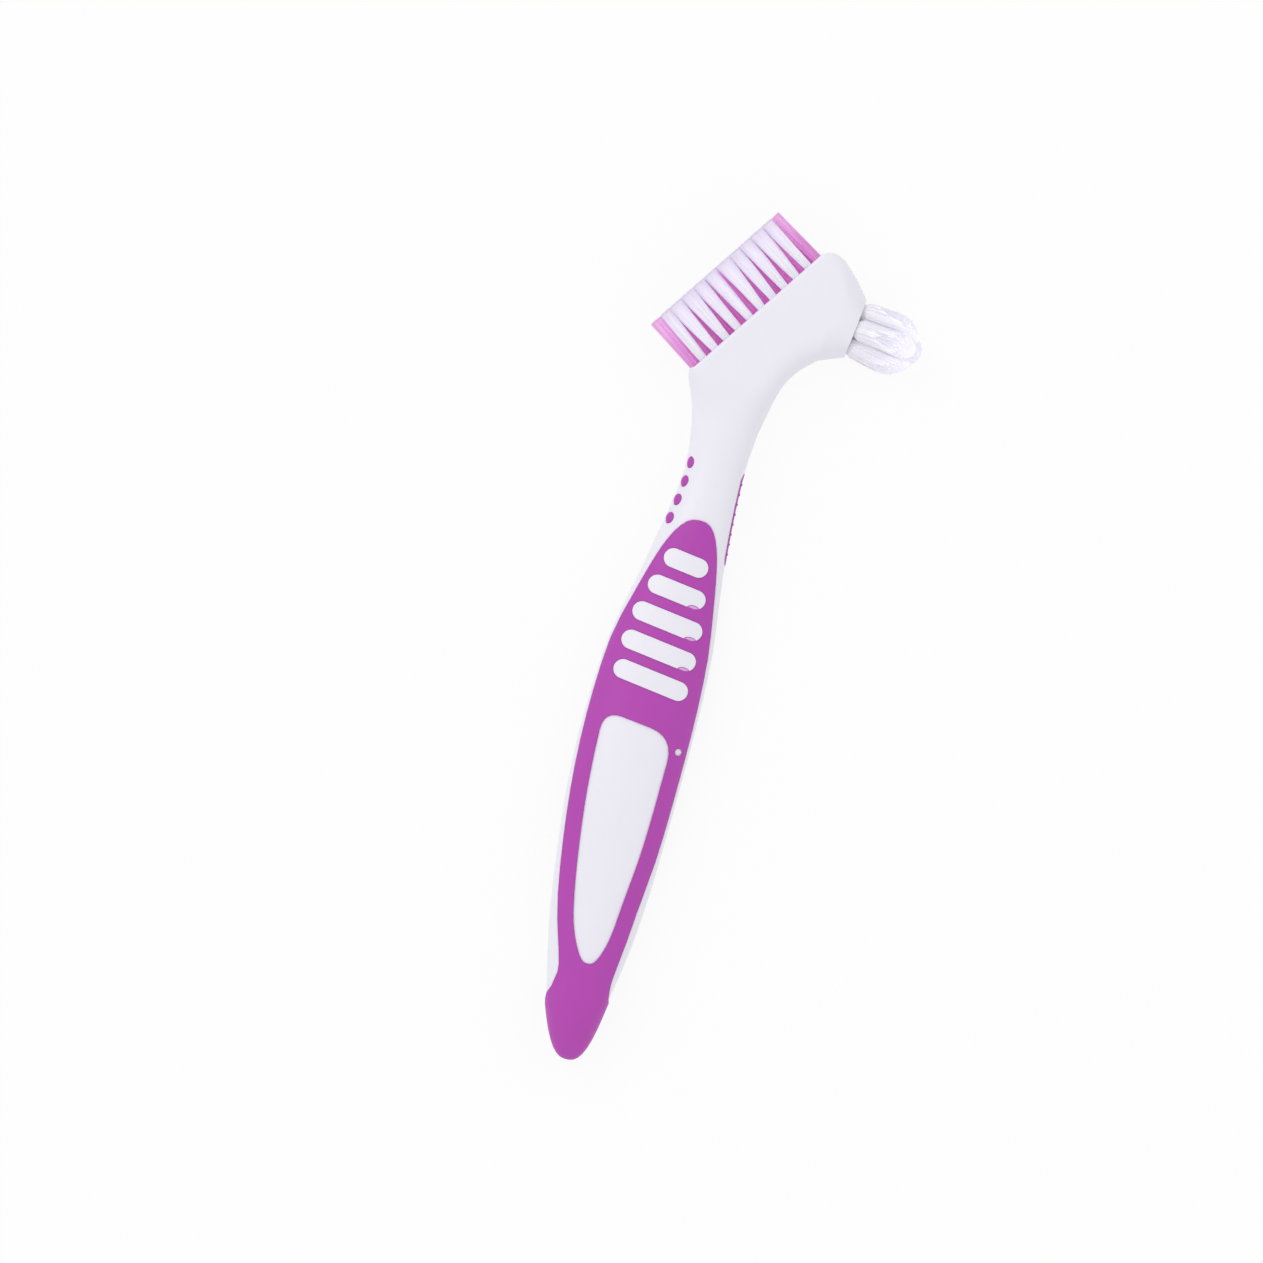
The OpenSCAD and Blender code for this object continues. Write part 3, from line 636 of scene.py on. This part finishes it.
def drawn_brass(name):
    """Flat brass wire, rolled bright; it shows only deep in the tuft holes."""
    material, tree, output = new_material(name)
    place = add_node(tree, "ShaderNodeTexCoord").outputs["Object"]
    # Rolling marks about 0.1 mm apart
    lines = add_node(tree, "ShaderNodeTexNoise", {"Vector": place}, Scale=1 / (0.1 * MM), Detail=2.0)
    polish = add_node(tree, "ShaderNodeMapRange", {"Value": lines.outputs["Fac"]})
    polish.inputs["To Min"].default_value = 0.2
    polish.inputs["To Max"].default_value = 0.34
    shader = add_node(tree, "ShaderNodeBsdfPrincipled", {"Roughness": polish.outputs[0]}, Metallic=1.0)
    shader.inputs["Base Color"].default_value = [*bpy.context.scene.denture_brush_colours.wire, 1]
    tree.links.new(shader.outputs[0], output.inputs["Surface"])
    return material


def finish_of(name, make, *values):
    """Finish by name, made the first time it is asked for."""
    return bpy.data.materials.get(name) or make(name, *values)


# A strand's sides, and its rings: at the foot of its hole, at the mouth, at the first bend, where
# it is bent most and at its tip. How much of its wave each ring has, the share of its height of
# the fourth, and how much narrower the rounded tip is
STRAND_SIDES = 4
RING_COUNT = 5
RING_WAVES = (0, 0, 0.3, 1, 0)
MOST_BENT = 0.55
TIP_WIDTH = 0.8

# The heart of a tuft, where its strands lie too close to see between: its sides, its rings'
# shares of its width, the last two over its crown, its shade, and how far it stays inside the
# outer strands and under the tips of the two heads, in millimetres
HEART_SIDES = 24
HEART_SHARES = (1, 1, 1, 1, 1, 0.68, 0.34)
HEART_SHADE = 0.4
HEART_IN = 0.2
BLOCK_UNDER = 0.45
SMALL_UNDER = 0.12

# How far the strands of the two heads fall short of their trim at most, in millimetres
BLOCK_RAGGED = 0.22
SMALL_RAGGED = 0.2

# Share of the strands that stray from their tuft, and how many times further they lean
STRAY_SHARE = 0.05
STRAY_LEAN = 6

# Clumps of painted shade round a tuft, and the shares of a strand's shade that are its own, its
# clump's and its tuft's
CLUMPS = 7
SHADE_SHARES = (0.35, 0.35, 0.3)

# Turn from each strand of a tuft to the next, and how far it strays, in radians
GOLDEN_TURN = math.radians(137.508)
TURN_STRAY = 0.2

# Least and most of a tuft's spread at its tip, as shares of what it is meant to be
SPREAD = (0.9, 1.1)

# Halvings in the search for the height at which a strand meets the trim
TRIM_STEPS = 14


def stalk_template(sides, rings):
    """One stalk of unit radius, with a number of sides and rings and a closed tip."""
    bm = bmesh.new()
    made = bmesh.ops.create_circle(bm, segments=sides, radius=1)
    edges = list({e for v in made["verts"] for e in v.link_edges})
    for _ in range(1, rings):
        grown = bmesh.ops.extrude_edge_only(bm, edges=edges)
        verts = [g for g in grown["geom"] if isinstance(g, bmesh.types.BMVert)]
        edges = [g for g in grown["geom"] if isinstance(g, bmesh.types.BMEdge)
                 and all(v in verts for v in g.verts)]
        bmesh.ops.translate(bm, verts=verts, vec=(0, 0, 1))
    bmesh.ops.holes_fill(bm, edges=edges, sides=sides)
    bmesh.ops.recalc_face_normals(bm, faces=bm.faces)
    mesh = bpy.data.meshes.new("stalk")
    bm.to_mesh(mesh)
    bm.free()
    return mesh


class Tuft:
    """A tuft's place and the size of its bundle, in millimetres."""

    def __init__(self, place, foot_d, tip_d, depth, height, early=0, held=0, crowd=1):
        self.place = place
        self.foot_r = foot_d / 2
        self.tip_r = tip_d / 2
        self.depth = depth
        self.height = height
        self.early = early
        self.held = held
        self.crowd = crowd
        self.aim = Vector()

    def point(self, foot, z):
        """Place at the height z of the strand that leaves the hole at a foot."""
        fanned = mix(max(0, z) / self.height, soft(z / FIRST_BEND), self.early)
        grown = mix(1, self.tip_r / self.foot_r, fanned)
        held = foot.y * self.held > 0
        return Vector((foot.x * grown, foot.y * (min(grown, HELD_GROWTH) if held else grown), z))


def block_tufts(row):
    """Tufts of one row of the long block."""
    _, count = ROWS[row]
    inner = row in (1, 2)
    tufts = []
    for i in range(count):
        side = (i == 0) - (i == count - 1)
        place = FACE_L / 2 - BLOCK_SHIFT + (i - (count - 1) / 2) * TUFT_PITCH
        lean = OUTER_LEAN
        foot_d = TUFT_D
        if inner:
            lean = mix(*INNER_LEAN, i / (count - 1))
        if inner and side:
            place += -END_OUT[0] if side > 0 else END_OUT[1]
            foot_d = END_TUFT_D
        flat = face_point(place, 0)
        matrix = (
            Matrix.Translation(Vector((flat.x, flat.y, (row - 1.5) * ROW_PITCH)) + ROW_SHIFT)
            @ Matrix.Rotation(FACE_ANGLE + math.radians(90 + lean), 4, "Z")
            @ Matrix.Rotation(math.radians(90), 4, "Y")
        )
        held = 0 if inner else side
        tufts.append(Tuft(matrix, foot_d, TUFT_FAN_D, HOLE_DEPTH, TUFT_H, held=held, crowd=BLOCK_CROWD))
    return tufts


def small_head_place():
    """Place of the small head's mouth, with +Z out of it."""
    mouth = FOOT + SMALL_REACH
    return (
        Matrix.Translation(Vector((mouth.x, mouth.y, 0)) + ROW_SHIFT)
        @ Matrix.Rotation(-SMALL_DROOP, 4, "Z")
        @ Matrix.Rotation(math.radians(90), 4, "Y")
    )


def small_tufts():
    """Tufts of the small head: the middle one, then the ring round it."""
    lean = Matrix.Rotation(math.radians(SMALL_LEAN), 4, "Y")
    tufts = []
    for i in range(RING_N + 1):
        place = small_head_place() @ Matrix.Rotation(math.radians(360 / RING_N * (i - 1)), 4, "Z")
        if i > 0:
            place = place @ Matrix.Translation((RING_R, 0, 0)) @ lean
        tufts.append(Tuft(place, SMALL_TUFT_D, SMALL_FAN_D, SMALL_HOLE_DEPTH, SMALL_H,
                          SMALL_EARLY, crowd=SMALL_CROWD))
    return tufts


def trim_reach(z):
    """Half width of the small head's trimmed cluster at a height."""
    closing = max(0, z - TRIM_FROM) / (SMALL_H - TRIM_FROM)
    return TRIM_R * max(0, 1 - closing * closing) ** TRIM_POWER


def dome_height(tuft, foot):
    """Height at which a strand of the small head meets the domed trim."""
    inverse = small_head_place().inverted()
    low = 0
    high = tuft.height
    for _ in range(TRIM_STEPS):
        middle = (low + high) / 2
        p = inverse @ tuft.place @ tuft.point(foot, middle)
        if math.hypot(p.x, p.y) < trim_reach(p.z):
            low = middle
        else:
            high = middle
    return low


def strand_paths(tufts, domed, seed):
    """Foot, height, bend, lean, shade and turn of every strand of a group of tufts."""
    rng = random.Random(seed)
    sizes = bpy.context.scene.denture_brush_sizes
    strand_r = sizes.strand_width / MM / 2
    paths = []
    for tuft in tufts:
        # No two tufts stand or fan out quite alike
        tuft.aim = Vector((rng.uniform(-1, 1), rng.uniform(-1, 1), 0)) * sizes.unevenness / MM
        tuft.tip_r *= rng.uniform(*SPREAD)
        strands = round(sizes.packing * tuft.crowd * (tuft.foot_r / strand_r) ** 2)
        clump = rng.uniform(0, math.tau)
        bundle = rng.random()
        for i in range(strands):
            # Even spacing over a disc, each strand a golden angle on from the last
            radius = (tuft.foot_r - strand_r) * math.sqrt((i + 0.5) / strands)
            turn = i * GOLDEN_TURN + rng.uniform(-TURN_STRAY, TURN_STRAY)
            foot = Vector((radius * math.cos(turn), radius * math.sin(turn), 0))
            top = dome_height(tuft, foot) if domed else tuft.height
            top -= rng.uniform(0, SMALL_RAGGED if domed else BLOCK_RAGGED)
            wave = Vector((rng.uniform(-1, 1), rng.uniform(-1, 1), 0)) * sizes.waviness / MM
            lean = Vector((rng.uniform(-1, 1), rng.uniform(-1, 1), 0)) * sizes.waviness / MM
            if rng.random() < STRAY_SHARE:
                lean *= STRAY_LEAN
            lean += tuft.aim
            # Painted shade rises and falls in clumps round the tuft, as clumped strands would look; the
            # strands themselves stand evenly
            painted_clump_shade = 0.5 + 0.5 * math.sin(CLUMPS * turn + clump)
            shares = (rng.random(), painted_clump_shade, bundle)
            shade = sum(part * share for part, share in zip(SHADE_SHARES, shares))
            paths.append((tuft, foot, top, wave, lean, shade, rng.uniform(0, math.pi)))
    return paths


def ring_height(tuft, top, level):
    """Height above the mouth of one ring of a stalk that ends at a height."""
    heights = (-tuft.depth, 0, FIRST_BEND, MOST_BENT * top, top)
    return heights[min(level, RING_COUNT - 1)]


def strand_piece(name, tufts, domed, seed):
    """All strands and hearts of a group of tufts as one mesh, each a bent copy of a template."""
    strand_r = bpy.context.scene.denture_brush_sizes.strand_width / MM / 2
    paths = strand_paths(tufts, domed, seed)
    bm = bmesh.new()
    counts = []
    for sides, rings, copies in (
        (STRAND_SIDES, RING_COUNT, len(paths)),
        (HEART_SIDES, len(HEART_SHARES), len(tufts)),
    ):
        template = stalk_template(sides, rings)
        counts.append(len(template.vertices))
        for _ in range(copies):
            bm.from_mesh(template)
        bpy.data.meshes.remove(template)
    bm.verts.ensure_lookup_table()
    strand = bm.verts.layers.float.new("strand")
    reach = bm.verts.layers.float.new("reach")
    for n, (tuft, foot, top, wave, lean, shade, spin) in enumerate(paths):
        turn = Matrix.Rotation(spin, 4, "Z")
        for v in bm.verts[n * counts[0]:(n + 1) * counts[0]]:
            level = round(v.co.z)
            z = ring_height(tuft, top, level)
            width = TIP_WIDTH if level == RING_COUNT - 1 else 1
            side = turn @ Vector((v.co.x, v.co.y, 0)) * strand_r * width
            v[strand] = shade
            v[reach] = max(0, z) / top
            bent = wave * RING_WAVES[level] + lean * (max(0, z) / tuft.height)
            v.co = (tuft.place @ (tuft.point(foot, z) + bent + side)) * MM
    first = len(paths) * counts[0]
    for n, tuft in enumerate(tufts):
        for v in bm.verts[first + n * counts[1]:first + (n + 1) * counts[1]]:
            level = round(v.co.z)
            out = Vector((v.co.x, v.co.y, 0)) * HEART_SHARES[level]
            foot = out * tuft.foot_r
            top = dome_height(tuft, foot) - SMALL_UNDER if domed else tuft.height - BLOCK_UNDER
            z = ring_height(tuft, top, level)
            v[strand] = HEART_SHADE
            v[reach] = max(0, z) / top
            bent = tuft.aim * (max(0, z) / tuft.height) - out * HEART_IN
            v.co = (tuft.place @ (tuft.point(foot, z) + bent)) * MM
    for f in bm.faces:
        f.smooth = len(f.verts) == 4
    mesh = bpy.data.meshes.new(name)
    bm.to_mesh(mesh)
    bm.free()
    piece = bpy.data.objects.new(name, mesh)
    bpy.context.scene.collection.objects.link(piece)
    return piece


class DENTURE_BRUSH_PG_sizes(PropertyGroup):
    """Sizes of what the looks add to the solids."""

    strand_width: FloatProperty(
        name="Strand width", description="Width of one bristle strand",
        default=0.2 * MM, min=0.1 * MM, max=0.4 * MM, precision=5, unit="LENGTH", subtype="DISTANCE")
    waviness: FloatProperty(
        name="Waviness", description="How far a strand bends from a straight line",
        default=0.09 * MM, min=0, max=0.4 * MM, precision=5, unit="LENGTH", subtype="DISTANCE")
    unevenness: FloatProperty(
        name="Unevenness", description="How far a whole tuft's tip stands off its place",
        default=0.3 * MM, min=0, max=0.4 * MM, precision=5, unit="LENGTH", subtype="DISTANCE")
    edge_round: FloatProperty(
        name="Edge rounding", description="Radius of the small rounding on every moulded edge",
        default=0.2 * MM, min=0.05 * MM, max=0.5 * MM, precision=5, unit="LENGTH", subtype="DISTANCE")
    packing: FloatProperty(
        name="Packing", description="How full of strands a tuft hole is",
        default=0.95, min=0.4, max=1)
    floor_width: FloatProperty(
        name="Floor width", description="Width of the pale floor under the brush",
        default=4, min=1, max=10, unit="LENGTH", subtype="DISTANCE")


class DENTURE_BRUSH_PG_colours(PropertyGroup):
    """Colours of the finishes, in linear light."""

    plastic: FloatVectorProperty(
        name="White plastic", description="Colour of the white moulding",
        default=linear("#f0eef8"), size=3, min=0, max=1, subtype="COLOR")
    rubber: FloatVectorProperty(
        name="Purple rubber", description="Colour of the grip and the dots",
        default=linear("#b33eb0"), size=3, min=0, max=1, subtype="COLOR")
    # Colour drawn at the runners' tops as paler lens-shaped marks
    runner: FloatVectorProperty(
        name="Runner marks", description="Colour of the paler marks at the runners' tops",
        default=linear("#e3aae4"), size=3, min=0, max=1, subtype="COLOR")
    white_bristle: FloatVectorProperty(
        name="White bristle", description="Colour of the white nylon strands",
        default=linear("#f9f7ff"), size=3, min=0, max=1, subtype="COLOR")
    purple_bristle: FloatVectorProperty(
        name="Purple bristle", description="Colour of the purple nylon strands",
        default=linear("#f2bdf4"), size=3, min=0, max=1, subtype="COLOR")
    wire: FloatVectorProperty(
        name="Anchor wire", description="Colour of the flat wires in the tuft holes",
        default=linear("#d9c585"), size=3, min=0, max=1, subtype="COLOR")
    floor: FloatVectorProperty(
        name="Floor", description="Colour of the pale floor",
        default=linear("#f4f4f5"), size=3, min=0, max=1, subtype="COLOR")


class DENTURE_BRUSH_OT_make_body(Operator):
    """Dress the white moulding: handle, neck and both heads"""

    bl_idname = "denture_brush.make_body"
    bl_label = "White moulding"

    def execute(self, context):
        piece = smooth_copy("handle_body", "white_moulding", OuterForm())
        material = finish_of("white_plastic_finish", white_polypropylene)
        finish_piece(piece, material, ["handle_body"])
        return {"FINISHED"}


class DENTURE_BRUSH_OT_make_rubber(Operator):
    """Dress the rubber: the grip, the thumb dots and the finger strip"""

    bl_idname = "denture_brush.make_rubber"
    bl_label = "Purple rubber"

    def execute(self, context):
        form = OuterForm()
        colours = context.scene.denture_brush_colours
        grip = smooth_copy("grip", "rubber_grip", form)
        marked = finish_of("grip_rubber_finish", purple_rubber, colours.rubber, True)
        finish_piece(grip, marked, ["grip"])
        dots = smooth_copy("thumb_dots", "rubber_dots")
        plain = finish_of("plain_rubber_finish", purple_rubber, colours.rubber, False)
        finish_piece(dots, plain, ["thumb_dots"])
        strip = smooth_copy("finger_strip", "rubber_strip", form)
        finish_piece(strip, plain, ["finger_strip"])
        return {"FINISHED"}


class DENTURE_BRUSH_OT_make_block_bristles(Operator):
    """Make the four rows of bristles of the long block"""

    bl_idname = "denture_brush.make_block_bristles"
    bl_label = "Long bristle block"

    def execute(self, context):
        colours = context.scene.denture_brush_colours
        white = finish_of("white_bristle_finish", nylon, colours.white_bristle, *WHITE_LOOK)
        purple = finish_of("purple_bristle_finish", nylon, colours.purple_bristle, *PURPLE_LOOK)
        for row, (prefix, count) in enumerate(ROWS):
            material, slot = (purple, "purple_nylon")
            if prefix.startswith("white"):
                material, slot = (white, "white_nylon")
            name = prefix.replace("tuft_", "bristles_").strip("_")
            piece = strand_piece(name, block_tufts(row), False, row + 1)
            finish_piece(piece, material, [prefix + str(i + 1) for i in range(count)])
        return {"FINISHED"}


class DENTURE_BRUSH_OT_make_small_bristles(Operator):
    """Make the domed cluster of bristles of the small head"""

    bl_idname = "denture_brush.make_small_bristles"
    bl_label = "Small tuft cluster"

    def execute(self, context):
        colours = context.scene.denture_brush_colours
        white = finish_of("small_bristle_finish", nylon, colours.white_bristle, *SMALL_LOOK)
        piece = strand_piece("small_head_bristles", small_tufts(), True, 9)
        finish_piece(piece, white, [f"small_tuft_{i + 1}" for i in range(RING_N + 1)])
        return {"FINISHED"}


class DENTURE_BRUSH_OT_make_wires(Operator):
    """Give the flat anchor wires in the tuft holes their brass finish"""

    bl_idname = "denture_brush.make_wires"
    bl_label = "Anchor wires"

    def execute(self, context):
        brass = finish_of("brass_wire_finish", drawn_brass)
        for name in ("main_anchor_wires", "small_anchor_wires"):
            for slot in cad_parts[name].material_slots:
                slot.material = brass
        return {"FINISHED"}


def white_seen(tree, strength):
    """Share of the rays that look at the stage directly, in a mirror or through a clear thing."""
    path = add_node(tree, "ShaderNodeLightPath")
    seen = path.outputs["Is Camera Ray"]
    for kind in ("Is Glossy Ray", "Is Transmission Ray"):
        either = add_node(tree, "ShaderNodeMath", {0: seen, 1: path.outputs[kind]}, operation="MAXIMUM")
        seen = either.outputs[0]
    scaled = add_node(tree, "ShaderNodeMath", {0: seen}, operation="MULTIPLY")
    scaled.inputs[1].default_value = strength
    return scaled.outputs[0]


class DENTURE_BRUSH_OT_make_stage(Operator):
    """Make the pale floor, the soft light and the camera"""

    bl_idname = "denture_brush.make_stage"
    bl_label = "Stage"

    def execute(self, context):
        self.make_floor(context)
        self.make_light(context)
        self.make_camera(context)
        return {"FINISHED"}

    def make_floor(self, context):
        """A plain pale floor that stays near white and keeps the brush's soft shadow."""
        material, tree, output = new_material("painted_floor")
        matte = add_node(tree, "ShaderNodeBsdfDiffuse")
        matte.inputs["Color"].default_value = [*context.scene.denture_brush_colours.floor, 1]
        plain = add_node(tree, "ShaderNodeEmission", Strength=1.0)
        blend = add_node(tree, "ShaderNodeMixShader")
        tree.links.new(white_seen(tree, FLOOR_WHITE), blend.inputs[0])
        tree.links.new(matte.outputs[0], blend.inputs[1])
        tree.links.new(plain.outputs[0], blend.inputs[2])
        tree.links.new(blend.outputs[0], output.inputs["Surface"])
        bm = bmesh.new()
        width = context.scene.denture_brush_sizes.floor_width
        bmesh.ops.create_grid(bm, x_segments=1, y_segments=1, size=width / 2)
        mesh = bpy.data.meshes.new("floor")
        bm.to_mesh(mesh)
        bm.free()
        mesh.materials.append(material)
        floor = bpy.data.objects.new("floor", mesh)
        context.scene.collection.objects.link(floor)

    def make_light(self, context):
        """An even pale surround and one large lamp over the thumb side."""
        world = bpy.data.worlds.new("studio")
        world.use_nodes = True
        tree = world.node_tree
        tree.nodes.clear()
        lit = add_node(tree, "ShaderNodeBackground", Strength=SURROUND)
        plain = add_node(tree, "ShaderNodeBackground", Strength=1.0)
        blend = add_node(tree, "ShaderNodeMixShader")
        tree.links.new(white_seen(tree, 1), blend.inputs[0])
        tree.links.new(lit.outputs[0], blend.inputs[1])
        tree.links.new(plain.outputs[0], blend.inputs[2])
        output = add_node(tree, "ShaderNodeOutputWorld")
        tree.links.new(blend.outputs[0], output.inputs["Surface"])
        context.scene.world = world
        lamp = bpy.data.lights.new("soft_box", "AREA")
        lamp.shape = "SQUARE"
        lamp.size = LAMP_W
        lamp.energy = LAMP_POWER
        place = bpy.data.objects.new("soft_box", lamp)
        place.location = LAMP_PLACE
        place.rotation_euler = LAMP_PLACE.to_track_quat("Z", "Y").to_euler()
        context.scene.collection.objects.link(place)

    def make_camera(self, context):
        """A long lens straight above, turned and centred as the photograph is."""
        camera = bpy.data.cameras.new("camera")
        camera.sensor_width = 36
        camera.lens = camera.sensor_width * VIEW_DISTANCE / (VIEW_WIDTH * MM)
        camera.clip_end = 20
        place = bpy.data.objects.new("camera", camera)
        place.location = VIEW_MIDDLE * MM + Vector((0, 0, VIEW_DISTANCE))
        place.rotation_euler = (0, 0, VIEW_TURN)
        context.scene.collection.objects.link(place)
        context.scene.camera = place
        context.scene.view_settings.view_transform = "Standard"


class DENTURE_BRUSH_PT_panel(Panel):
    """Lists the pieces, the sizes and the colours"""

    bl_idname = "DENTURE_BRUSH_PT_panel"
    bl_label = "Denture brush"
    bl_space_type = "VIEW_3D"
    bl_region_type = "UI"
    bl_category = "Denture brush"

    def draw(self, context):
        for kind in STEPS:
            self.layout.operator(kind.bl_idname)
        for group in (context.scene.denture_brush_sizes, context.scene.denture_brush_colours):
            box = self.layout.box()
            for name in group.__annotations__:
                box.prop(group, name)


STEPS = (
    DENTURE_BRUSH_OT_make_body,
    DENTURE_BRUSH_OT_make_rubber,
    DENTURE_BRUSH_OT_make_block_bristles,
    DENTURE_BRUSH_OT_make_small_bristles,
    DENTURE_BRUSH_OT_make_wires,
    DENTURE_BRUSH_OT_make_stage,
)
CLASSES = (DENTURE_BRUSH_PG_sizes, DENTURE_BRUSH_PG_colours, *STEPS, DENTURE_BRUSH_PT_panel)


def register():
    """Registers the classes and hangs the settings on the scene."""
    for kind in CLASSES:
        bpy.utils.register_class(kind)
    bpy.types.Scene.denture_brush_sizes = PointerProperty(type=DENTURE_BRUSH_PG_sizes)
    bpy.types.Scene.denture_brush_colours = PointerProperty(type=DENTURE_BRUSH_PG_colours)


def unregister():
    """Takes the settings and the classes away again."""
    del bpy.types.Scene.denture_brush_colours
    del bpy.types.Scene.denture_brush_sizes
    for kind in reversed(CLASSES):
        bpy.utils.unregister_class(kind)


def main():
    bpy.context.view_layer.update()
    register()
    bpy.ops.denture_brush.make_body()
    bpy.ops.denture_brush.make_rubber()
    bpy.ops.denture_brush.make_block_bristles()
    bpy.ops.denture_brush.make_small_bristles()
    bpy.ops.denture_brush.make_wires()
    bpy.ops.denture_brush.make_stage()


if __name__ == "__main__":
    main()
